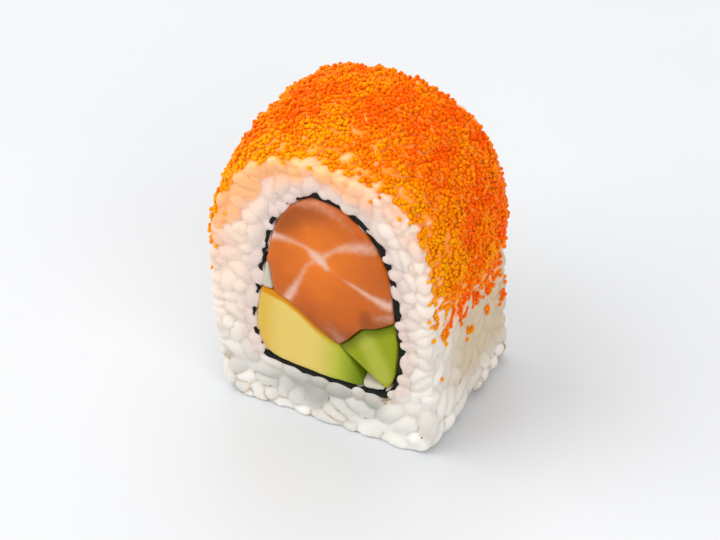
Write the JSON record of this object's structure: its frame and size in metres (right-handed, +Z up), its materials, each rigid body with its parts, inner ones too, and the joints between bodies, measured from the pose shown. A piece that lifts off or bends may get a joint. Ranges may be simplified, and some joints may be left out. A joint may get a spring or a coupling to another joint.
{
  "type": "uramaki roll",
  "caption": "Cut piece of an inside-out sushi roll standing on its flat side: rice round a nori sheet with salmon, avocado, cucumber and cream cheese, and a coat of orange roe.",
  "frame": {"origin": "middle of the flat base that the roll stands on", "axes": "+Z up through the crown, +Y into the roll's length away from the shown cut face, +X to the right across that face"},
  "size_m": [0.045, 0.028, 0.0545],
  "materials": {
    "rice": "moist, slightly translucent cooked rice",
    "roe": "wet, translucent fish eggs",
    "nori": "damp, dull seaweed sheet",
    "salmon": "moist raw fish with pale fat lines",
    "avocado": "soft and buttery, yellow to green",
    "cucumber": "wet and crisp",
    "cream_cheese": "smooth and soft"
  },
  "bodies": {
    "root": {"rice": "rice", "roe": "roe", "nori": "nori", "salmon": "salmon", "avocado": "avocado", "cucumber": "cucumber", "cream_cheese_side": "cream_cheese", "cream_cheese_base": "cream_cheese"}
  },
  "joints": []
}
